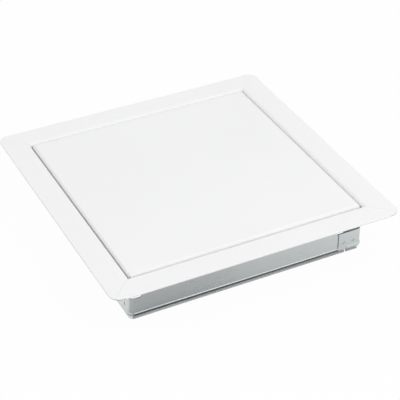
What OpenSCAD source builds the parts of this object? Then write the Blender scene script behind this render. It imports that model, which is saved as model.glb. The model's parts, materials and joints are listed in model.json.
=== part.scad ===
// Ceiling access panel, modelled face up (+Z) as it lies in the photo. Millimetres.
// A frame of four roll-formed steel profiles, a flush door on two sprung hinge
// pins, and a magnetic push latch behind the door's left edge.

/* [Frame] */
// Width of the whole flange across the face
overall_w = 250; // [236:1:320]
// Width of the flange outside the frame's web
flange_w = 21.5; // [18:0.5:26]
// Height of the frame from its face to its lower edge
frame_h = 42.5; // [42:0.5:48]
// Thickness of the frame's sheet
sheet_t = 0.8; // [0.7:0.05:0.9]
// Outer radius of the bend between flange and web
bend_r = 3.4; // [2.8:0.1:3.6]
// Width of the folded hem under the flange's edge
hem_w = 5; // [4:0.5:7]
// Radius of the flange's four corners
flange_corner_r = 9; // [4:0.5:12]
// Radius of the web's upright corners
web_corner_r = 5; // [4.8:0.1:5.6]
// Height of the crease at the foot of the web above the lower edge
crease_h = 6.1; // [5.9:0.1:6.6]
// How far the crease is pressed out of the web
crease_out = 0.55; // [0.45:0.05:0.65]
// Depth of the rolled groove under the crease
groove_in = 2.5; // [2.2:0.1:2.7]
// Outward lean of the lip below the groove, in degrees
lip_lean = 32; // [28:1:36]
// Depth below the face at which the corner slots start
slot_depth = 19.7; // [19:0.1:20.5]
// Height of the corner slots
slot_h = 2.2; // [1.6:0.1:2.6]
// Length of the tab that wraps round each corner
tab_len = 21.9; // [21:0.1:24]
// Open joint between the mitred flanges
mitre_gap = 0.06; // [0.04:0.02:0.2]

/* [Door] */
// Gap between the door and the frame's web
door_gap = 1.1; // [0.9:0.1:1.6]
// Thickness of the door's sheet
door_t = 0.8; // [0.7:0.05:1]
// Depth of the door's folded edges
door_depth = 14; // [13:0.5:15]
// Outer radius of the door's folded edges
door_bend_r = 2.8; // [2.2:0.1:3]
// Width of the lip folded inwards along the door's edges
lip_w = 6; // [4:0.5:7]
// Radius of the relief hole at each corner of the door
relief_r = 0.9; // [0.7:0.1:1.2]

/* [Hinge] */
// Distance of the hinge line in from the door's edge
hinge_inset = 14; // [12:0.5:18]
// Depth of the hinge line below the face
hinge_drop = 6; // [5.5:0.25:6.5]
// Diameter of the hinge pins
pin_d = 4; // [3.5:0.1:4.4]
// Radial play of the hinge pins in their holes
pin_play = 0.08; // [0.05:0.01:0.1]
// How far the hinge pins reach out past the frame's web
pin_out = 1; // [0.6:0.1:1.4]
// Length of the hinge pin brackets
bracket_len = 24; // [22:1:32]
// Thickness of the brackets' sheet
bracket_t = 1.2; // [1:0.1:1.4]

/* [Latch] */
// Diameter of the latch plunger
plunger_d = 10; // [9:0.5:10.5]
// Radial play of the plunger in its guide
plunger_play = 0.08; // [0.05:0.01:0.1]
// Height of the latch case above its bracket
case_h = 22; // [20:0.5:24]
// Wall of the latch case
case_wall = 1.5; // [1.2:0.1:1.8]
// Distance between the two latch case screws
case_screws = 20; // [19:0.5:24]

/* [Fixing] */
// Diameter of the fixing screw holes
fix_hole_d = 4.5; // [4:0.1:5]
// Distance between the two fixing holes of a side
fix_spacing = 120; // [80:5:130]
// Depth of the fixing holes below the face
fix_depth = 27; // [25:0.5:30]

/* [Hidden] */
$fn = 48;
ho = overall_w / 2;
hb = ho - flange_w;
web_in = hb - sheet_t;
web_mid = hb - sheet_t / 2;
flare = 50;
flare_z = crease_h + crease_out / tan(flare);
fold_r = min(0.85 * sheet_t, 0.49 * crease_out / sin(flare) / tan(flare / 2));
bead_z = crease_h - 1.5;
groove_z = crease_h - 3.4;
foot_z = sheet_t / 2 * sin(lip_lean);
crease_at = [web_mid + crease_out, crease_h];
bead_at = [web_mid + crease_out, bead_z];
groove_at = [web_mid - groove_in, groove_z];
foot_at = groove_at + (groove_z - foot_z) * [tan(lip_lean), -1];
slot_top = frame_h - slot_depth;
tab_top = slot_top - slot_h;
tab_low = bead_z - 0.1;
tab_groove = 14.2;
lip_gap = 1.1;
relief_len = 10.2;
hem_half = ho - flange_corner_r - 1.5;
butt_gap = 0.3;
x_cut = hb - tab_len - butt_gap;
x_jog = x_cut - 1.7;
jog_low = flare_z + 0.3;
jog_off = sheet_t + 0.06;
tongue_reach = 6;
rivet_r = 1.5;
rivet_sink = 0.3;
rivet_z = crease_h + 5.5;
rivet_at = [8.9, 17.8];
hd = web_in - door_gap;
door_u = frame_h - door_t;
door_low = frame_h - door_depth;
hx = hd - hinge_inset;
hz = frame_h - hinge_drop;
pin_r = pin_d / 2;
skirt_in = hd - door_t;
ear_out = skirt_in - bracket_t;
ear_in = skirt_in - bracket_len;
ear_r = 6.2;
channel_r = max(bracket_t + 0.3, door_bend_r - door_t + 0.1);
clip_t = 0.8;
groove_deep = 0.5;
grip_r = 3.1;
grip_len = 9;
elbow_r = 4;
lever_len = 9;
lever_y = ear_in - elbow_r - 3.5;
coil_wire = 0.35;
plunger_r = plunger_d / 2;
foot_r = plunger_r + 1;
case_hx = foot_r + plunger_play + case_wall;
case_hy = case_screws / 2 + 3;
case_edge = 2;
case_floor = 2;
lx = -(skirt_in - lip_w - 1.9 - case_hx);
shelf_z = flare_z + 3.3;
case_z = shelf_z + bracket_t;
case_top = case_z + case_h;
cap_t = 2.2;
peg_r = 1.2;
peg_len = 3.5;
screw_r = 1.25;
screw_len = 7;
strike_t = 2.4;
tip_z = door_u - strike_t - 0.3;
magnet_h = 3;
bore_r = 3.6;
spring_floor = case_z + case_floor;
leg_top = door_low - 3;
leg_hy = case_hy + 5;
leg_rivet_r = 1.6;
leg_rivet_y = case_hy + 1;
leg_rivet_z = (case_z + leg_top) / 2;
fix_z = frame_h - fix_depth;

white = [0.93, 0.94, 0.94];
zinc = [0.70, 0.73, 0.74];
steel = [0.62, 0.63, 0.65];
plastic = [0.80, 0.81, 0.82];
vinyl = [0.25, 0.26, 0.28];

// Section of one sheet bend, in the quadrant given by the two signs
module bend(r, t, sx, sy) {
  intersection() {
    difference() {
      circle(r = r);
      circle(r = r - t);
    }
    translate([sx > 0 ? 0 : -r - 1, sy > 0 ? 0 : -r - 1]) square(r + 1);
  }
}

// Directions along a path, and a direction turned by an angle
function heading(path, i) = (path[i + 1] - path[i]) / norm(path[i + 1] - path[i]);
function left_of(v) = [-v.y, v.x];
function turned(v, a) = [v.x * cos(a) - v.y * sin(a), v.x * sin(a) + v.y * cos(a)];
function backwards(list) = [for (i = [len(list) - 1 : -1 : 0]) list[i]];

// Points round one bend of a strip, at a given offset to the left of its middle
function bend_points(p, from, to, r, offset) =
  let (turn = atan2(cross(from, to), from * to), side = sign(turn),
       centre = p - from * r * tan(abs(turn) / 2) + left_of(from) * r * side)
  [for (i = [0 : 6]) centre + turned(left_of(from), turn * i / 6) * (offset - side * r)];

// One edge of a strip that is bent along a path
function strip_edge(path, r, offset) = let (n = len(path) - 1) concat(
  [path[0] + left_of(heading(path, 0)) * offset],
  [for (i = [1 : n - 1])
    each bend_points(path[i], heading(path, i - 1), heading(path, i), r, offset)],
  [path[n] + left_of(heading(path, n - 1)) * offset]);

// Section of the frame's sheet, bent along a path
module strip(path) {
  polygon(concat(strip_edge(path, fold_r, sheet_t / 2),
                 backwards(strip_edge(path, fold_r, -sheet_t / 2))));
}

// Flange of a given reach, the bend at its inner edge and the upper web
module flange_section(reach) {
  translate([web_in + bend_r, frame_h - bend_r]) bend(bend_r, sheet_t, -1, 1);
  translate([web_in + bend_r, frame_h - sheet_t]) square([reach - web_in - bend_r, sheet_t]);
  translate([web_in, slot_top]) square([sheet_t, frame_h - bend_r - slot_top]);
}

// Hem folded flat under the flange's straight edge
module hem_section() {
  translate([ho - hem_w, frame_h - 2 * sheet_t]) square([hem_w - sheet_t, sheet_t]);
  intersection() {
    translate([ho - sheet_t, frame_h - sheet_t]) circle(r = sheet_t);
    translate([ho - sheet_t, frame_h - 3 * sheet_t]) square(4 * sheet_t);
  }
}

// Lower web with its pressed crease, the groove under it and the lip
module web_section(top) {
  strip([[web_mid, top], [web_mid, flare_z], crease_at, bead_at, groove_at, foot_at]);
}

// Groove and lip alone, without the crease
module lip_section() {
  strip([groove_at + 0.4 * (bead_at - groove_at), groove_at, foot_at]);
}

// Plan of one mitred side with rounded outer corners
module side_plan() {
  difference() {
    translate([0, 0, slot_top - 1]) linear_extrude(slot_depth + 2)
      polygon([[0, mitre_gap], [ho + 1 - mitre_gap, ho + 1], [mitre_gap - ho - 1, ho + 1]]);
    for (s = [-1, 1]) difference() {
      translate([s * ho - (s > 0 ? flange_corner_r : 2), ho - flange_corner_r, slot_top - 2])
        cube([flange_corner_r + 2, flange_corner_r + 2, slot_depth + 4]);
      translate([s * (ho - flange_corner_r), ho - flange_corner_r, slot_top - 3])
        cylinder(r = flange_corner_r, h = slot_depth + 6);
    }
  }
}

// Joggled tongue that lies behind the neighbour's tab
module tongue() {
  translate([0, 0, jog_low + 0.25]) linear_extrude(tab_top - jog_low - 0.6)
    polygon([[0.5 - x_jog, hb], [-x_jog, hb], [-x_cut, hb - jog_off],
             [tongue_reach - hb, hb - jog_off], [tongue_reach - hb, web_in - jog_off],
             [-x_cut, web_in - jog_off], [-x_jog, web_in], [0.5 - x_jog, web_in]]);
}

// Lip carried on past the web's cut end, cut to a point
module lip_end() {
  tip = hb - tab_groove - lip_gap;
  difference() {
    translate([-tip, 0, 0]) rotate([90, 0, 90]) linear_extrude(tip - x_cut) lip_section();
    translate([-tip, hb + 1, 0]) rotate([90, 0, 0]) linear_extrude(2 * groove_in + 4)
      polygon([[-1, 0.8], [2.4, crease_h], [-1, crease_h]]);
  }
}

// One side of the frame, as the back side: its tab wraps the corner at +X
module profile() {
  difference() {
    union() {
      intersection() {
        union() {
          translate([-hem_half, 0, 0]) rotate([90, 0, 90]) linear_extrude(2 * hem_half) {
            flange_section(ho - sheet_t);
            hem_section();
          }
          for (x = [-ho, hem_half])
            translate([x, 0, 0]) rotate([90, 0, 90]) linear_extrude(ho - hem_half)
              flange_section(ho);
        }
        side_plan();
      }
      difference() {
        translate([-x_cut, 0, 0]) rotate([90, 0, 90])
          linear_extrude(x_cut + hb - web_corner_r) web_section(slot_top + 2);
        translate([hb - relief_len, web_in - 1, tab_top])
          cube([relief_len, sheet_t + 2, slot_h + 3]);
        translate([-x_cut - 1, web_in - 1, jog_low])
          cube([x_cut - x_jog + 1, sheet_t + 2, slot_top - jog_low + 3]);
      }
      translate([hb - web_corner_r, hb - web_corner_r, 0]) rotate_extrude(angle = 90)
        translate([web_corner_r - hb, 0]) web_section(tab_top);
      translate([0, hb - web_corner_r, 0]) rotate([90, 0, 0])
        linear_extrude(tab_groove - web_corner_r) web_section(tab_top);
      translate([web_in, hb - tab_len, tab_low])
        cube([sheet_t, tab_len - tab_groove, tab_top - tab_low]);
      tongue();
      lip_end();
    }
    for (d = rivet_at) {
      translate([hb + 1, hb - d, rivet_z]) rotate([0, -90, 0])
        cylinder(r = rivet_r + 0.05, h = sheet_t + 2);
      translate([d - hb, hb + 1, rivet_z]) rotate([90, 0, 0])
        cylinder(r = rivet_r + 0.05, h = 2 * sheet_t + 3);
    }
  }
}

// Hinge pin hole through the upper web, at x along the side
module pin_hole(x) {
  translate([x, hb + 1, hz]) rotate([90, 0, 0])
    cylinder(r = pin_r + pin_play, h = sheet_t + 2);
}

// The two fixing holes of a side
module fix_holes() {
  for (s = [-1, 1]) translate([s * fix_spacing / 2, hb + 1, fix_z]) rotate([90, 0, 0])
    cylinder(d = fix_hole_d, h = sheet_t + 2);
}

module frame_front() {
  color(white) rotate(180) difference() {
    profile();
    pin_hole(-hx);
  }
}

module frame_back() {
  color(white) difference() {
    profile();
    pin_hole(hx);
  }
}

module frame_right() {
  color(white) rotate(-90) difference() {
    profile();
    fix_holes();
  }
}

module frame_left() {
  color(white) rotate(90) difference() {
    profile();
    fix_holes();
    for (s = [-1, 1]) translate([s * leg_rivet_y, hb + 1, leg_rivet_z]) rotate([90, 0, 0])
      cylinder(r = leg_rivet_r + 0.05, h = sheet_t + 2);
  }
}

module corner_rivets() {
  color(zinc) for (a = [0, 90, 180, 270]) rotate(a) for (d = rivet_at)
    translate([d - hb, hb - rivet_sink, rivet_z]) rotate([90, 0, 0]) {
      cylinder(r = rivet_r, h = sheet_t + jog_off + 0.1);
      translate([0, 0, sheet_t + jog_off - rivet_sink]) cylinder(r = rivet_r + 1, h = 0.7);
    }
}

// Door: a folded pan with lips along its lower edges
module pan_outline(w, low, r, top) {
  translate([-w / 2, low]) square([w, top - r - low]);
  translate([r - w / 2, top - r]) square([w - 2 * r, r]);
  translate([w / 2 - r, top - r]) intersection() {
    circle(r = r);
    square(r + 1);
  }
  translate([r - w / 2, top - r]) intersection() {
    circle(r = r);
    translate([-r - 1, 0]) square(r + 1);
  }
}

module pan_block(w, low, r, top) {
  intersection() {
    translate([-w / 2, 0, 0]) rotate([90, 0, 90]) linear_extrude(w) pan_outline(w, low, r, top);
    translate([0, w / 2, 0]) rotate([90, 0, 0]) linear_extrude(w) pan_outline(w, low, r, top);
  }
}

module door_panel() {
  color(white) difference() {
    pan_block(2 * hd, door_low, door_bend_r, frame_h);
    pan_block(2 * skirt_in, door_low + door_t, door_bend_r - door_t, door_u);
    translate([lip_w - skirt_in, lip_w - skirt_in, door_low - 1])
      cube([2 * (skirt_in - lip_w), 2 * (skirt_in - lip_w), door_t + 2]);
    for (x = [-1, 1]) for (y = [-1, 1])
      translate([x * (hd - door_t / 2), y * (hd - door_t / 2), door_low - 1])
        cylinder(r = relief_r, h = door_depth + 2);
    translate([hx, hd + 1, hz]) rotate([90, 0, 0]) cylinder(r = pin_r + 0.5, h = 2 * hd + 2);
  }
}

module strike_plate() {
  color(zinc) translate([lx, 0, door_u - strike_t]) {
    cylinder(r = 9, h = strike_t);
  }
}

// Hinge bracket at the back: a channel under the door's face, ears down
module bracket_section() {
  r = channel_r;
  translate([skirt_in - r, door_u - r]) bend(r, bracket_t, 1, 1);
  translate([ear_in + r, door_u - r]) bend(r, bracket_t, -1, 1);
  translate([ear_in + r, door_u - bracket_t]) square([bracket_len - 2 * r, bracket_t]);
  for (y = [ear_out, ear_in])
    translate([y, hz - ear_r - 1]) square([bracket_t, door_u - r - hz + ear_r + 1]);
}

module hinge_bracket() {
  difference() {
    intersection() {
      translate([hx - ear_r, 0, 0]) rotate([90, 0, 90]) linear_extrude(2 * ear_r) bracket_section();
      translate([0, hd, 0]) rotate([90, 0, 0]) linear_extrude(bracket_len + 4) {
        translate([hx - ear_r, hz]) square([2 * ear_r, hinge_drop + 1]);
        intersection() {
          translate([hx, hz]) circle(r = ear_r);
          translate([hx - ear_r - 1, hz - ear_r - 1]) square([2 * ear_r + 2, ear_r + 1]);
        }
      }
    }
    translate([hx, hd, hz]) rotate([90, 0, 0])
      cylinder(r = pin_r + pin_play, h = bracket_len + 4);
  }
}

module hinge_bracket_back() {
  color(zinc) hinge_bracket();
}

module hinge_bracket_front() {
  color(zinc) mirror([0, 1, 0]) hinge_bracket();
}

// Hinge pin at the back: bent to a finger lever, with a groove for its clip
module hinge_pin() {
  y_end = lever_y + elbow_r;
  difference() {
    translate([hx, hb + pin_out, hz]) rotate([90, 0, 0])
      cylinder(r = pin_r, h = hb + pin_out - y_end);
    translate([hx, ear_out - 0.15, hz]) rotate([90, 0, 0]) difference() {
      cylinder(r = pin_r + 1, h = clip_t + 0.1);
      translate([0, 0, -1]) cylinder(r = pin_r - groove_deep, h = clip_t + 2);
    }
  }
  translate([hx, y_end, hz - elbow_r]) rotate([90, 0, -90]) rotate_extrude(angle = 90)
    translate([elbow_r, 0]) circle(r = pin_r);
  translate([hx, lever_y, hz - elbow_r - lever_len]) cylinder(r = pin_r, h = lever_len);
}

module hinge_pin_back() {
  color(steel) hinge_pin();
}

module hinge_pin_front() {
  color(steel) mirror([0, 1, 0]) hinge_pin();
}

// Retaining clip in the pin's groove, open on one side
module pin_clip() {
  mouth = pin_r - groove_deep + 0.04;
  translate([hx, ear_out - 0.2, hz]) rotate([90, 0, 0]) difference() {
    cylinder(r = pin_r + 1.7, h = clip_t);
    translate([0, 0, -1]) cylinder(r = mouth, h = clip_t + 2);
    translate([-mouth, 0, -1]) cube([2 * mouth, pin_r + 3, clip_t + 2]);
  }
}

module pin_clip_back() {
  color(steel) pin_clip();
}

module pin_clip_front() {
  color(steel) mirror([0, 1, 0]) pin_clip();
}

// Coil spring along Z, as a swept wire
function coil_ring(a, r, w, z, sides) = [for (k = [0 : sides - 1])
  let (b = 360 * k / sides, q = r + w * cos(b)) [q * cos(a), q * sin(a), z + w * sin(b)]];

module coil(r, w, len, turns) {
  sides = 6;
  steps = 14 * turns;
  rise = len - 2 * w;
  pts = [for (i = [0 : steps])
    each coil_ring(360 * turns * i / steps, r, w, w + rise * i / steps, sides)];
  side_faces = [for (i = [0 : steps - 1]) for (k = [0 : sides - 1])
    let (a = i * sides + k, b = i * sides + (k + 1) % sides)
    each [[a, b, a + sides], [b, b + sides, a + sides]]];
  first = [for (k = [sides - 1 : -1 : 0]) k];
  last = [for (k = [0 : sides - 1]) steps * sides + k];
  polyhedron(points = pts, faces = concat(side_faces, [first, last]));
}

module pin_spring() {
  from = ear_out - 0.25 - clip_t;
  to = ear_in + bracket_t + 0.05;
  translate([hx, from, hz]) rotate([90, 0, 0]) coil(pin_r + 0.9, coil_wire, from - to, 8);
}

module pin_spring_back() {
  color(steel) pin_spring();
}

module pin_spring_front() {
  color(steel) mirror([0, 1, 0]) pin_spring();
}

// Vinyl grip on the end of the pin's finger lever
module pin_grip() {
  end_t = 1;
  translate([hx, lever_y, hz - elbow_r - lever_len - end_t]) difference() {
    union() {
      translate([0, 0, end_t]) cylinder(r = grip_r, h = grip_len - end_t);
      cylinder(r1 = grip_r - 1, r2 = grip_r, h = end_t);
    }
    translate([0, 0, end_t - 0.05]) cylinder(r = pin_r + 0.02, h = grip_len);
  }
}

module pin_grip_back() {
  color(vinyl) pin_grip();
}

module pin_grip_front() {
  color(vinyl) mirror([0, 1, 0]) pin_grip();
}

// Latch bracket on the left web: upright leg, shelf for the latch case
module latch_bracket() {
  r = bracket_t + 0.8;
  color(zinc) difference() {
    translate([0, leg_hy, 0]) rotate([90, 0, 0]) linear_extrude(2 * leg_hy) {
      translate([-web_in, shelf_z + r]) square([bracket_t, leg_top - shelf_z - r]);
      translate([r - web_in, shelf_z + r]) bend(r, bracket_t, -1, -1);
      translate([r - web_in, shelf_z]) square([web_in + lx + case_hx + 1 - r, bracket_t]);
    }
    for (s = [-1, 1]) {
      translate([-web_in - 1, s * leg_rivet_y, leg_rivet_z]) rotate([0, 90, 0])
        cylinder(r = leg_rivet_r + 0.05, h = bracket_t + 2);
      translate([lx, s * case_screws / 2, shelf_z - 1])
        cylinder(r = screw_r + 0.35, h = bracket_t + 2);
    }
  }
}

// Blind rivets through the web and the bracket's leg, heads inside
module bracket_rivets() {
  upset_t = 0.6;
  color(zinc) for (s = [-1, 1])
    translate([-hb - upset_t, s * leg_rivet_y, leg_rivet_z]) rotate([0, 90, 0]) {
      cylinder(r = leg_rivet_r + 0.8, h = upset_t);
      cylinder(r = leg_rivet_r, h = sheet_t + bracket_t + upset_t + 0.2);
      translate([0, 0, sheet_t + bracket_t + upset_t]) cylinder(r = leg_rivet_r + 1.4, h = 0.7);
    }
}

// Block with rounded upright edges, for the latch case and its cap
module case_block(height) {
  flat_x = case_hx - case_edge;
  flat_y = case_hy - case_edge;
  translate([-case_hx, -flat_y, 0]) cube([2 * case_hx, 2 * flat_y, height]);
  translate([-flat_x, -case_hy, 0]) cube([2 * flat_x, 2 * case_hy, height]);
  for (x = [-1, 1]) for (y = [-1, 1])
    translate([x * flat_x, y * flat_y, 0]) cylinder(r = case_edge, h = height);
}

// Latch case: a block with a bore for the plunger's foot, screw pilots and peg holes
module latch_case() {
  color(plastic) translate([lx, 0, case_z]) difference() {
    case_block(case_h - cap_t);
    translate([0, 0, case_floor]) cylinder(r = foot_r + plunger_play, h = case_h);
    for (s = [-1, 1]) translate([0, s * case_screws / 2, 0]) {
      translate([0, 0, -1]) cylinder(r = screw_r + 0.05, h = screw_len + 2);
      translate([0, 0, case_h - cap_t - peg_len - 0.5]) cylinder(r = peg_r + 0.02, h = peg_len + 1);
    }
  }
}

// Cap that guides the plunger, with two press-in pegs
module latch_cap() {
  color(plastic) translate([lx, 0, case_top - cap_t]) difference() {
    union() {
      case_block(cap_t);
      for (s = [-1, 1]) translate([0, s * case_screws / 2, -peg_len])
        cylinder(r = peg_r, h = peg_len + 0.1);
    }
    translate([0, 0, -1]) cylinder(r = plunger_r + plunger_play, h = cap_t + 2);
  }
}

module latch_screws() {
  head_t = 1.6;
  color(steel) for (s = [-1, 1]) translate([lx, s * case_screws / 2, shelf_z]) {
    difference() {
      translate([0, 0, -head_t]) cylinder(r = 2.2 * screw_r, h = head_t);
      for (a = [0, 90]) rotate(a) translate([-1.3 * screw_r, -0.3, -head_t - 1])
        cube([2.6 * screw_r, 0.6, 0.6 * head_t + 1]);
    }
    cylinder(r = screw_r, h = bracket_t + screw_len);
  }
}

// Plunger: guided at the cap, with a foot inside the case and a spring bore
module latch_plunger() {
  foot_z = case_z + 7;
  color(plastic) difference() {
    union() {
      translate([lx, 0, foot_z]) cylinder(r = foot_r, h = 2.5);
      translate([lx, 0, foot_z]) cylinder(r = plunger_r, h = tip_z - 0.2 - foot_z);
    }
    translate([lx, 0, foot_z - 1]) cylinder(r = bore_r, h = case_top - foot_z - 1);
    translate([lx, 0, tip_z - magnet_h]) cylinder(r = plunger_r - 0.95, h = magnet_h + 1);
  }
}

module latch_magnet() {
  color(steel) translate([lx, 0, tip_z - magnet_h]) {
    cylinder(r = plunger_r - 1, h = magnet_h);
  }
}

module latch_spring() {
  color(steel) translate([lx, 0, spring_floor + 0.05])
    coil(2.9, 0.4, case_top - 2 - spring_floor - 0.1, 8);
}

frame_front();
frame_right();
frame_back();
frame_left();
corner_rivets();
door_panel();
strike_plate();
hinge_bracket_front();
hinge_bracket_back();
hinge_pin_front();
hinge_pin_back();
pin_clip_front();
pin_clip_back();
pin_spring_front();
pin_spring_back();
pin_grip_front();
pin_grip_back();
latch_bracket();
bracket_rivets();
latch_case();
latch_cap();
latch_screws();
latch_plunger();
latch_magnet();
latch_spring();
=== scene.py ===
import json
import math

import bpy
from mathutils import Matrix, Vector


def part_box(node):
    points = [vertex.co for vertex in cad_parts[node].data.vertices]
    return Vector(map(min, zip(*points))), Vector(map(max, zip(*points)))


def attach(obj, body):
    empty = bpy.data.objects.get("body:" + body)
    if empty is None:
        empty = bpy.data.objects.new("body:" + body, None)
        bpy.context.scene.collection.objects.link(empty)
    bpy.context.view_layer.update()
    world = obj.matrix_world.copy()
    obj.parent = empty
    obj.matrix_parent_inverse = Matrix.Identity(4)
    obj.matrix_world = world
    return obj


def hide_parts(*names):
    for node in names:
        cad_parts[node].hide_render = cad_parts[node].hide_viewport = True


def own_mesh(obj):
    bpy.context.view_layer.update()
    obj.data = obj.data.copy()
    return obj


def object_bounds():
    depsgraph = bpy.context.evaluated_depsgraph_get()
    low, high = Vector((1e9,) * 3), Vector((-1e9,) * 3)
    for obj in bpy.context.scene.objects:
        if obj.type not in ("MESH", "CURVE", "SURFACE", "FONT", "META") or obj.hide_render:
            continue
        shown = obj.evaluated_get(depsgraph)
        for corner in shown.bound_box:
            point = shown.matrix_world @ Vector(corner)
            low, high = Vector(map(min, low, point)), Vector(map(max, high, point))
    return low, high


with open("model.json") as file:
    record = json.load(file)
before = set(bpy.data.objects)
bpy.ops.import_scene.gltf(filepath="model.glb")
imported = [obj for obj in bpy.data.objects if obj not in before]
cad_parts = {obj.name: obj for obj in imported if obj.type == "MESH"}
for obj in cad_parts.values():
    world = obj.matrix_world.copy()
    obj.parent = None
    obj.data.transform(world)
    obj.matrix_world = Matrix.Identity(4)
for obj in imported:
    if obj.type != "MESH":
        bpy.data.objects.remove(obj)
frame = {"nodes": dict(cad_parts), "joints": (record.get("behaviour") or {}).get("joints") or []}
cad_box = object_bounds()
nodes_of = frame["nodes"]


# Camera
# It looks down on the front left corner of the panel through a long lens, from
# a little over a metre away, with the panel lying face up and filling the frame.
view_azimuth = math.radians(-26.35)
view_elevation = math.radians(34.96)
view_roll = math.radians(-0.32)
lens_in_frame_widths = 3.426
film_width = 36.0
nearest_seen = 0.05
panel_width = cad_box[1][0] - cad_box[0][0]
face_height = cad_box[1][2]
camera_back = 4.541 * panel_width
camera_right = 0.0289 * panel_width
camera_down = 0.0869 * panel_width

toward_camera = Vector((
    math.sin(view_azimuth) * math.cos(view_elevation),
    -math.cos(view_azimuth) * math.cos(view_elevation),
    math.sin(view_elevation),
))
image_right = Vector((math.cos(view_azimuth), math.sin(view_azimuth), 0.0))
image_up = toward_camera.cross(image_right)
eye = Vector((0.0, 0.0, face_height))
eye += toward_camera * camera_back + image_right * camera_right - image_up * camera_down

camera_data = bpy.data.cameras.new("camera")
camera_data.sensor_width = film_width
camera_data.lens = lens_in_frame_widths * film_width
camera_data.clip_start = nearest_seen
camera = bpy.data.objects.new("camera", camera_data)
bpy.context.collection.objects.link(camera)
rolled_right = image_right * math.cos(view_roll) + image_up * math.sin(view_roll)
rolled_up = image_up * math.cos(view_roll) - image_right * math.sin(view_roll)
camera_turn = Matrix((rolled_right, rolled_up, toward_camera)).transposed().to_4x4()
camera.matrix_world = Matrix.Translation(eye) @ camera_turn
bpy.context.scene.camera = camera
bpy.context.scene.view_settings.view_transform = "Standard"


# Floor and studio light
# A wide sheet of white paper in a white room that is dark at the front, with the main soft
# box at the front right and a weaker one on the left. Metal mirrors a glow on the paper at
# the right, the back left and the front right, and no wall shows behind a soft box.
def new_material(name):
    made = bpy.data.materials.new(name)
    made.use_nodes = True
    tree = made.node_tree
    shader = tree.nodes["Principled BSDF"]
    return made, tree, shader


def feed(tree, given, socket):
    if isinstance(given, (int, float)):
        socket.default_value = given
    else:
        tree.links.new(given, socket)


def math_node(tree, operation, first, second=0.0):
    made = tree.nodes.new("ShaderNodeMath")
    made.operation = operation
    feed(tree, first, made.inputs[0])
    feed(tree, second, made.inputs[1])
    return made.outputs[0]


def ramp(tree, value, begin, finish, low, high):
    made = tree.nodes.new("ShaderNodeMapRange")
    made.interpolation_type = "SMOOTHSTEP"
    made.inputs["From Min"].default_value = begin
    made.inputs["From Max"].default_value = finish
    made.inputs["To Min"].default_value = low
    made.inputs["To Max"].default_value = high
    tree.links.new(value, made.inputs["Value"])
    return made.outputs["Result"]


def along(tree, place, direction):
    made = tree.nodes.new("ShaderNodeVectorMath")
    made.operation = "DOT_PRODUCT"
    made.inputs[1].default_value = direction
    tree.links.new(place, made.inputs[0])
    return made.outputs["Value"]


def ray_kinds(tree):
    paths = tree.nodes.new("ShaderNodeLightPath").outputs
    mirrored = math_node(tree, "MAXIMUM", paths["Is Glossy Ray"], paths["Is Transmission Ray"])
    return paths["Is Camera Ray"], mirrored


paper_half = 6.0
paper_colour = (0.73, 0.73, 0.73, 1.0)
paper_roughness = 0.9
paper_seen = 0.97
bpy.ops.mesh.primitive_plane_add(size=2 * paper_half)
floor = bpy.context.object
floor.name = "floor"
floor_material, floor_tree, floor_shader = new_material("white_paper")
floor_shader.inputs["Base Color"].default_value = paper_colour
floor_shader.inputs["Roughness"].default_value = paper_roughness
floor_shader.inputs["Specular IOR Level"].default_value = 0.0
paper_place = floor_tree.nodes.new("ShaderNodeTexCoord").outputs["Object"]


def paper_glow(towards, begins, full, strength):
    reach = along(floor_tree, paper_place, towards)
    return ramp(floor_tree, reach, begins, full, 0.0, strength)


glow_right = paper_glow(towards=(1.0, 0.0, 0.0), begins=-0.115, full=0.12, strength=0.78)
glow_back_left = paper_glow(towards=(-0.5, 0.87, 0.0), begins=-0.038, full=-0.022, strength=1.0)
glow_front_right = paper_glow(towards=(0.6, -0.8, 0.0), begins=0.15, full=0.19, strength=0.45)
two_glows = math_node(floor_tree, "ADD", glow_right, glow_back_left)
all_glows = math_node(floor_tree, "ADD", two_glows, glow_front_right)
direct, mirrored = ray_kinds(floor_tree)
direct_share = math_node(floor_tree, "MULTIPLY", direct, paper_seen)
mirrored_glow = math_node(floor_tree, "MINIMUM", all_glows, 1.0)
mirrored_share = math_node(floor_tree, "MULTIPLY", mirrored, mirrored_glow)
white_share = math_node(floor_tree, "MAXIMUM", direct_share, mirrored_share)
white_paper = floor_tree.nodes.new("ShaderNodeEmission")
paper_mix = floor_tree.nodes.new("ShaderNodeMixShader")
floor_tree.links.new(white_share, paper_mix.inputs["Fac"])
floor_tree.links.new(floor_shader.outputs[0], paper_mix.inputs[1])
floor_tree.links.new(white_paper.outputs[0], paper_mix.inputs[2])
floor_output = floor_tree.nodes["Material Output"]
floor_tree.links.new(paper_mix.outputs[0], floor_output.inputs["Surface"])
floor.data.materials.append(floor_material)


def soft_box(name, place, width, power):
    light = bpy.data.lights.new(name, "AREA")
    light.shape = "SQUARE"
    light.size = width
    light.energy = power
    lamp = bpy.data.objects.new(name, light)
    bpy.context.collection.objects.link(lamp)
    lamp.location = place
    aim = Vector((0.0, 0.0, face_height / 2)) - lamp.location
    lamp.rotation_euler = aim.to_track_quat("-Z", "Y").to_euler()
    return lamp


soft_boxes = (
    soft_box("soft_box_main", place=(0.75, -1.0, 1.38), width=1.7, power=15.8),
    soft_box("soft_box_left", place=(-0.8, 0.25, 1.3), width=1.3, power=4.9),
)

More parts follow.
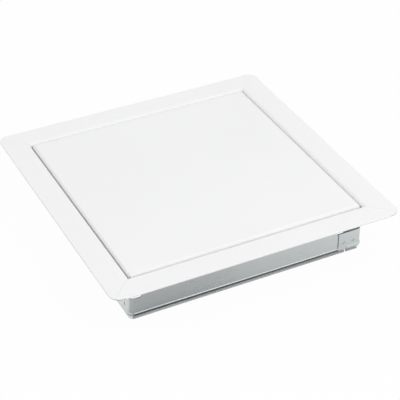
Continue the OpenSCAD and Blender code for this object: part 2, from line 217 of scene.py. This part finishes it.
room_level = 0.6
dark_level = 0.3
dark_front = Vector((0.25, -0.9, 0.35)).normalized()
dark_inner = math.cos(math.radians(28.0))
dark_outer = math.cos(math.radians(50.0))
lamp_core = 0.85
lamp_rim = 1.15
room = bpy.data.worlds.new("white_room")
bpy.context.scene.world = room
room.use_nodes = True
room_tree = room.node_tree
room_light = room_tree.nodes["Background"]
room_light.inputs["Color"].default_value = (1.0, 1.0, 1.0, 1.0)
direction = room_tree.nodes.new("ShaderNodeTexCoord").outputs["Generated"]
toward_dark = along(room_tree, direction, dark_front)
wall = ramp(room_tree, toward_dark, dark_outer, dark_inner, 1.0, dark_level)
for lamp in soft_boxes:
    half_angle = math.atan(lamp.data.size / 2 / lamp.location.length)
    toward_lamp = along(room_tree, direction, lamp.location.normalized())
    rim = math.cos(lamp_rim * half_angle)
    core = math.cos(lamp_core * half_angle)
    wall = math_node(room_tree, "MULTIPLY", wall, ramp(room_tree, toward_lamp, rim, core, 1.0, 0.0))
direct, mirrored = ray_kinds(room_tree)
reflected = math_node(room_tree, "MULTIPLY", mirrored, wall)
shown = math_node(room_tree, "MAXIMUM", direct, reflected)
lighting = math_node(room_tree, "SUBTRACT", 1.0, math_node(room_tree, "MAXIMUM", direct, mirrored))
level = math_node(room_tree, "ADD", shown, math_node(room_tree, "MULTIPLY", lighting, room_level))
room_tree.links.new(level, room_light.inputs["Strength"])


# Frame profiles
# Each side is one strip of coil coated steel, roll formed into flange, web, crease, groove
# and lip, with two rivets at its corner. The room side is white, hem included. The back is
# bare zinc, with a dark band of painted shade under the crease of the front and back sides, and cut edges
# show steel.
noise_low = 0.3
noise_high = 0.7


def object_place(tree, scale=(1.0, 1.0, 1.0)):
    place = tree.nodes.new("ShaderNodeTexCoord")
    mapping = tree.nodes.new("ShaderNodeMapping")
    mapping.inputs["Scale"].default_value = scale
    tree.links.new(place.outputs["Object"], mapping.inputs["Vector"])
    return mapping.outputs["Vector"]


def noise(tree, place, scale, detail):
    made = tree.nodes.new("ShaderNodeTexNoise")
    made.inputs["Scale"].default_value = scale
    made.inputs["Detail"].default_value = detail
    tree.links.new(place, made.inputs["Vector"])
    return made.outputs["Fac"]


def mixed(tree, first, second, share):
    made = tree.nodes.new("ShaderNodeMix")
    made.inputs["Factor"].default_value = share
    tree.links.new(first, made.inputs["A"])
    tree.links.new(second, made.inputs["B"])
    return made.outputs["Result"]


def spread(tree, value, low, high):
    return ramp(tree, value, noise_low, noise_high, low, high)


def tint(tree, value, dark, light):
    blend = tree.nodes.new("ShaderNodeValToRGB")
    first, last = blend.color_ramp.elements
    first.position = noise_low
    first.color = (*dark, 1.0)
    last.position = noise_high
    last.color = (*light, 1.0)
    tree.links.new(value, blend.inputs["Fac"])
    return blend.outputs["Color"]


def relief(tree, shader, value, depth, strength):
    bump = tree.nodes.new("ShaderNodeBump")
    bump.inputs["Distance"].default_value = depth
    bump.inputs["Strength"].default_value = strength
    tree.links.new(value, bump.inputs["Height"])
    tree.links.new(bump.outputs["Normal"], shader.inputs["Normal"])


def grained(name, grain, detail, dark, light, smooth, rough, metallic=0.0, depth=0.0, strength=0.0):
    made, tree, shader = new_material(name)
    texture = noise(tree, object_place(tree), grain, detail)
    tree.links.new(tint(tree, texture, dark, light), shader.inputs["Base Color"])
    tree.links.new(spread(tree, texture, smooth, rough), shader.inputs["Roughness"])
    shader.inputs["Metallic"].default_value = metallic
    if depth > 0.0:
        relief(tree, shader, texture, depth, strength)
    return made


def white_coating():
    made, tree, shader = new_material("white_coating")
    place = object_place(tree)
    cloud = noise(tree, place, scale=9.0, detail=2.0)
    peel = noise(tree, place, scale=700.0, detail=3.0)
    shade = tint(tree, cloud, dark=(0.864, 0.866, 0.866), light=(0.879, 0.881, 0.881))
    tree.links.new(shade, shader.inputs["Base Color"])
    tree.links.new(spread(tree, peel, low=0.28, high=0.33), shader.inputs["Roughness"])
    shader.inputs["Specular IOR Level"].default_value = 0.4
    relief(tree, shader, peel, depth=0.00002, strength=0.15)
    return made


def zinc_layer(tree, shader):
    place = object_place(tree)
    spangle = tree.nodes.new("ShaderNodeTexVoronoi")
    spangle.inputs["Scale"].default_value = 260.0
    tree.links.new(place, spangle.inputs["Vector"])
    crystal = tree.nodes.new("ShaderNodeSeparateColor")
    tree.links.new(spangle.outputs["Color"], crystal.inputs["Color"])
    haze = noise(tree, place, scale=16.0, detail=3.0)
    rolled = noise(tree, object_place(tree, scale=(4.0, 4.0, 420.0)), scale=1.0, detail=3.0)
    worn = mixed(tree, haze, rolled, share=0.3)
    skin = mixed(tree, worn, crystal.outputs[0], share=0.06)
    tree.links.new(spread(tree, skin, low=0.25, high=0.34), shader.inputs["Roughness"])
    shader.inputs["Metallic"].default_value = 1.0
    fine = noise(tree, place, scale=900.0, detail=2.0)
    relief(tree, shader, fine, depth=0.00001, strength=0.07)
    return tint(tree, skin, dark=(0.57, 0.60, 0.605), light=(0.62, 0.652, 0.658))


def bare_zinc():
    made, tree, shader = new_material("bare_zinc")
    tree.links.new(zinc_layer(tree, shader), shader.inputs["Base Color"])
    return made


# Painted shade: a dark band of colour on the zinc between these heights under the crease stands in for the
# shadow in the fold, and fades out where the web faces sideways.
fold_low = 0.0040
fold_high = 0.0060
fold_edge = 0.0002
fold_shade_strength = 0.95
fold_shade_colour = (0.10, 0.105, 0.11, 1.0)
corner_begins = 0.1
corner_full = 0.5


def zinc_with_painted_fold_shade():
    made, tree, shader = new_material("zinc_with_painted_fold_shade")
    height = along(tree, object_place(tree), (0.0, 0.0, 1.0))
    above = ramp(tree, height, fold_low - fold_edge, fold_low + fold_edge, 0.0, fold_shade_strength)
    below = ramp(tree, height, fold_high - fold_edge, fold_high + fold_edge, 1.0, 0.0)
    facing = tree.nodes.new("ShaderNodeNewGeometry").outputs["Normal"]
    sideways = math_node(tree, "ABSOLUTE", along(tree, facing, (1.0, 0.0, 0.0)))
    straight = ramp(tree, sideways, corner_begins, corner_full, 1.0, 0.0)
    painted_shade_under_crease = math_node(tree, "MULTIPLY", math_node(tree, "MULTIPLY", above, below), straight)
    # Mixes the dark fold colour into the zinc as painted shade under the crease.
    painted_shade_mix = tree.nodes.new("ShaderNodeMix")
    painted_shade_mix.data_type = "RGBA"
    painted_shade_mix.inputs["B"].default_value = fold_shade_colour
    tree.links.new(painted_shade_under_crease, painted_shade_mix.inputs["Factor"])
    tree.links.new(zinc_layer(tree, shader), painted_shade_mix.inputs["A"])
    tree.links.new(painted_shade_mix.outputs["Result"], shader.inputs["Base Color"])
    return made


def sheared_steel():
    return grained(
        "sheared_steel", grain=1200.0, detail=3.0, dark=(0.62, 0.63, 0.635), light=(0.72, 0.73, 0.735),
        smooth=0.55, rough=0.7, metallic=1.0,
    )


coat = white_coating()
zinc = bare_zinc()
fold_shaded_zinc = zinc_with_painted_fold_shade()
sheared = sheared_steel()
finish_order = ("coat", "bare", "cut")
hem_height = 0.0017
hem_reach = 0.0052
hem_corner = 0.0105
bend_height = 0.004
mitre_width = 0.0003
bend_reach = 0.0045
web_foot = 0.0072
web_head = face_height - bend_reach
turned_to_room = 0.35
end_cut = 0.98
bore_wall = 0.1


def profile_finish(face):
    outward_axis = 0 if abs(face.center.x) > abs(face.center.y) else 1
    inward = -face.normal[outward_axis] * math.copysign(1.0, face.center[outward_axis])
    lengthwise = abs(face.normal[1 - outward_axis])
    nearer, farther = sorted((abs(face.center.x), abs(face.center.y)))
    below_face = face_height - face.center.z
    near_edge = farther > panel_width / 2 - hem_reach and nearer < panel_width / 2 - hem_corner
    in_hem = below_face < hem_height and near_edge
    on_face = below_face < bend_height and face.normal.z > turned_to_room
    in_mitre = below_face < bend_height and farther - nearer < mitre_width
    if in_hem or on_face or in_mitre or inward > turned_to_room:
        return "coat"
    in_web = web_foot < face.center.z < web_head
    if lengthwise > end_cut or (in_web and abs(inward) < bore_wall):
        return "cut"
    return "bare"


def smooth_bend_tree(weld_gap, sharp_angle):
    tree = bpy.data.node_groups.new("smooth_bends", "GeometryNodeTree")
    tree.interface.new_socket("Geometry", in_out="INPUT", socket_type="NodeSocketGeometry")
    tree.interface.new_socket("Geometry", in_out="OUTPUT", socket_type="NodeSocketGeometry")
    start = tree.nodes.new("NodeGroupInput")
    joined = tree.nodes.new("GeometryNodeMergeByDistance")
    joined.inputs["Distance"].default_value = weld_gap
    smooth = tree.nodes.new("GeometryNodeSetShadeSmooth")
    angle = tree.nodes.new("GeometryNodeInputMeshEdgeAngle")
    sharp = tree.nodes.new("FunctionNodeCompare")
    sharp.data_type = "FLOAT"
    sharp.operation = "GREATER_THAN"
    sharp.inputs["B"].default_value = sharp_angle
    split = tree.nodes.new("GeometryNodeSetShadeSmooth")
    split.domain = "EDGE"
    split.inputs["Shade Smooth"].default_value = False
    end = tree.nodes.new("NodeGroupOutput")
    tree.links.new(start.outputs[0], joined.inputs["Geometry"])
    tree.links.new(joined.outputs["Geometry"], smooth.inputs["Geometry"])
    tree.links.new(angle.outputs["Unsigned Angle"], sharp.inputs["A"])
    tree.links.new(smooth.outputs["Geometry"], split.inputs["Geometry"])
    tree.links.new(sharp.outputs["Result"], split.inputs["Selection"])
    tree.links.new(split.outputs["Geometry"], end.inputs[0])
    return tree


smooth_bends = smooth_bend_tree(weld_gap=0.000002, sharp_angle=math.radians(32.0))


def dress(node, *finishes):
    skin = nodes_of[node].data
    skin.materials.clear()
    for finish in finishes:
        skin.materials.append(finish)
    rounding = nodes_of[node].modifiers.new("smooth_bends", "NODES")
    rounding.node_group = smooth_bends


# The front and back sides get the zinc with the painted shade under the crease.
for side, bare in (
    ("frame_front", fold_shaded_zinc), ("frame_right", zinc), ("frame_back", fold_shaded_zinc), ("frame_left", zinc),
):
    dress(side, coat, bare, sheared)
    for face in nodes_of[side].data.polygons:
        face.material_index = finish_order.index(profile_finish(face))

dress("corner_rivets", zinc)


# Door
# One sheet of the same coated steel folded into a shallow pan, flush with the flange and
# white outside, with bare zinc behind it. Its corners are notched where the folds meet.
door_low, door_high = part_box("door_panel")
door_middle = (door_low.z + door_high.z) / 2
lies_flat = 0.7


def coated_door(face):
    if abs(face.normal.z) > lies_flat:
        return (face.normal.z > 0) == (face.center.z > door_middle)
    return face.normal.dot(Vector((face.center.x, face.center.y, 0.0))) > 0


dress("door_panel", coat, zinc)
for face in nodes_of["door_panel"].data.polygons:
    face.material_index = 0 if coated_door(face) else 1

for node in ("strike_plate", "hinge_bracket_front", "hinge_bracket_back"):
    dress(node, zinc)


# Hinge pins
# Bright drawn rod, bent to a finger lever with a dipped vinyl grip. A clip in the
# rod's groove takes the thrust of the spring that pushes the pin out.
def drawn_steel():
    return grained(
        "drawn_steel", grain=400.0, detail=3.0, dark=(0.50, 0.505, 0.515), light=(0.60, 0.605, 0.61),
        smooth=0.22, rough=0.34, metallic=1.0,
    )


def dipped_vinyl():
    return grained(
        "dipped_vinyl", grain=500.0, detail=3.0, dark=(0.020, 0.021, 0.023), light=(0.032, 0.033, 0.035),
        smooth=0.35, rough=0.5, depth=0.00005, strength=0.4,
    )


steel = drawn_steel()
vinyl = dipped_vinyl()
for end in ("front", "back"):
    dress("hinge_pin_" + end, steel)
    dress("pin_clip_" + end, steel)
    dress("pin_grip_" + end, vinyl)


# Push latch
# A moulded case on a zinc angle, with a capped plunger that carries a nickel plated
# magnet in its tip. Two screws hold the case and two rivets hold the angle.
def moulded_plastic():
    return grained(
        "moulded_plastic", grain=1500.0, detail=2.0, dark=(0.56, 0.57, 0.58), light=(0.61, 0.62, 0.63),
        smooth=0.45, rough=0.58, depth=0.00002, strength=0.5,
    )


def nickel_plate():
    return grained(
        "nickel_plate", grain=900.0, detail=4.0, dark=(0.56, 0.545, 0.515), light=(0.64, 0.625, 0.595),
        smooth=0.2, rough=0.34, metallic=1.0,
    )


plastic = moulded_plastic()
for node in ("latch_case", "latch_cap", "latch_plunger"):
    dress(node, plastic)
for node in ("latch_bracket", "bracket_rivets"):
    dress(node, zinc)
dress("latch_screws", steel)
dress("latch_magnet", nickel_plate())


# Springs
# Hard drawn spring wire wound cold, with the last turn at each end closed. Two push the
# hinge pins out; one lifts the plunger inside its case.
coil_radius = 0.0029
coil_turns = 9.0
pin_wire_radius = 0.00036
latch_wire_radius = 0.0004
points_per_turn = 28.0
wire_sides = 12
closed_pitch_in_radii = 2.04


def spring_wire():
    return grained(
        "spring_wire", grain=650.0, detail=3.0, dark=(0.42, 0.425, 0.43), light=(0.54, 0.545, 0.55),
        smooth=0.24, rough=0.38, metallic=1.0,
    )


def climb(tree, travel, begin, finish, amount):
    made = tree.nodes.new("ShaderNodeMapRange")
    feed(tree, travel, made.inputs["Value"])
    feed(tree, begin, made.inputs["From Min"])
    feed(tree, finish, made.inputs["From Max"])
    feed(tree, 0.0, made.inputs["To Min"])
    feed(tree, amount, made.inputs["To Max"])
    return made.outputs["Result"]


def coil_path(tree, start):
    turns = start.outputs["Turns"]
    wire = start.outputs["Wire radius"]
    radius = start.outputs["Coil radius"]
    travel = tree.nodes.new("GeometryNodeSplineParameter").outputs["Factor"]
    angle = math_node(tree, "MULTIPLY", math_node(tree, "MULTIPLY", travel, turns), 2 * math.pi)
    closed = math_node(tree, "DIVIDE", 1.0, turns)
    opened = math_node(tree, "SUBTRACT", 1.0, closed)
    pitch = math_node(tree, "MULTIPLY", wire, closed_pitch_in_radii)
    rise = math_node(tree, "SUBTRACT", start.outputs["Length"], math_node(tree, "MULTIPLY", wire, 2.0))
    middle = math_node(tree, "SUBTRACT", rise, math_node(tree, "MULTIPLY", pitch, 2.0))
    lower_end = climb(tree, travel, 0.0, closed, pitch)
    body = climb(tree, travel, closed, opened, middle)
    upper_end = climb(tree, travel, opened, 1.0, pitch)
    lower_part = math_node(tree, "ADD", wire, lower_end)
    height = math_node(tree, "ADD", lower_part, math_node(tree, "ADD", body, upper_end))
    where = tree.nodes.new("ShaderNodeCombineXYZ")
    for axis, wave in (("X", "COSINE"), ("Y", "SINE")):
        across = math_node(tree, "MULTIPLY", math_node(tree, wave, angle), radius)
        tree.links.new(across, where.inputs[axis])
    tree.links.new(height, where.inputs["Z"])
    return where.outputs["Vector"]


def coil_tree():
    tree = bpy.data.node_groups.new("closed_end_coil", "GeometryNodeTree")
    inputs = {}
    for label, kind in (
        ("Coil radius", "Float"), ("Wire radius", "Float"), ("Length", "Float"),
        ("Turns", "Float"), ("Place", "Vector"), ("Turn", "Vector"), ("Finish", "Material"),
    ):
        socket = tree.interface.new_socket(label, in_out="INPUT", socket_type="NodeSocket" + kind)
        inputs[label] = socket.identifier
    tree.interface.new_socket("Geometry", in_out="OUTPUT", socket_type="NodeSocketGeometry")
    start = tree.nodes.new("NodeGroupInput")
    line = tree.nodes.new("GeometryNodeCurvePrimitiveLine")
    points = tree.nodes.new("GeometryNodeResampleCurve")
    tree.links.new(line.outputs["Curve"], points.inputs["Curve"])
    count = math_node(tree, "MULTIPLY", start.outputs["Turns"], points_per_turn)
    tree.links.new(count, points.inputs["Count"])
    wound = tree.nodes.new("GeometryNodeSetPosition")
    tree.links.new(points.outputs["Curve"], wound.inputs["Geometry"])
    tree.links.new(coil_path(tree, start), wound.inputs["Position"])
    section = tree.nodes.new("GeometryNodeCurvePrimitiveCircle")
    section.inputs["Resolution"].default_value = wire_sides
    tree.links.new(start.outputs["Wire radius"], section.inputs["Radius"])
    swept = tree.nodes.new("GeometryNodeCurveToMesh")
    swept.inputs["Fill Caps"].default_value = True
    tree.links.new(wound.outputs["Geometry"], swept.inputs["Curve"])
    tree.links.new(section.outputs["Curve"], swept.inputs["Profile Curve"])
    turned = tree.nodes.new("FunctionNodeEulerToRotation")
    tree.links.new(start.outputs["Turn"], turned.inputs["Euler"])
    placed = tree.nodes.new("GeometryNodeTransform")
    tree.links.new(swept.outputs["Mesh"], placed.inputs["Geometry"])
    tree.links.new(start.outputs["Place"], placed.inputs["Translation"])
    tree.links.new(turned.outputs["Rotation"], placed.inputs["Rotation"])
    real = tree.nodes.new("GeometryNodeRealizeInstances")
    tree.links.new(placed.outputs["Geometry"], real.inputs["Geometry"])
    finished = tree.nodes.new("GeometryNodeSetMaterial")
    tree.links.new(real.outputs["Geometry"], finished.inputs["Geometry"])
    tree.links.new(start.outputs["Finish"], finished.inputs["Material"])
    end = tree.nodes.new("NodeGroupOutput")
    tree.links.new(finished.outputs["Geometry"], end.inputs[0])
    return tree, inputs


coil, coil_inputs = coil_tree()
wire_finish = spring_wire()


def wind(name, **sizes):
    blank = bpy.data.objects.new(name + "_blank", bpy.data.meshes.new(name + "_blank"))
    bpy.context.collection.objects.link(blank)
    winding = blank.modifiers.new("coil", "NODES")
    winding.node_group = coil
    for label, given in sizes.items():
        winding[coil_inputs[label.replace("_", " ")]] = given
    winding[coil_inputs["Finish"]] = wire_finish
    seen = blank.evaluated_get(bpy.context.evaluated_depsgraph_get())
    mesh = bpy.data.meshes.new_from_object(seen)
    bpy.data.objects.remove(blank)
    for face in mesh.polygons:
        face.use_smooth = True
    spring = bpy.data.objects.new(name, mesh)
    bpy.context.collection.objects.link(spring)
    return spring


def joint_named(name):
    return next(joint for joint in frame["joints"] if joint["name"] == name)


hinge = joint_named("door_hinge")
hinge_x = hinge["pos_m"][0]
hinge_z = hinge["pos_m"][2]
upright = (0.0, 0.0, 0.0)
lying = (-math.pi / 2, 0.0, 0.0)
for end, seat in (("front", 1), ("back", 0)):
    node = "pin_spring_" + end
    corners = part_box(node)
    length = corners[1].y - corners[0].y
    spring = wind(
        "pin_coil_" + end, Coil_radius=coil_radius, Wire_radius=pin_wire_radius, Length=length,
        Turns=coil_turns, Place=(hinge_x, corners[0].y, hinge_z), Turn=lying,
    )
    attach(spring, "door")
    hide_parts(node)
    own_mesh(spring)

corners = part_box("latch_spring")
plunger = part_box("latch_plunger")
plunger_x = (plunger[0].x + plunger[1].x) / 2
length = corners[1].z - corners[0].z
spring = wind(
    "latch_coil", Coil_radius=coil_radius, Wire_radius=latch_wire_radius, Length=length,
    Turns=coil_turns, Place=(plunger_x, 0.0, corners[0].z), Turn=upright,
)
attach(spring, "frame")
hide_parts("latch_spring")
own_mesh(spring)
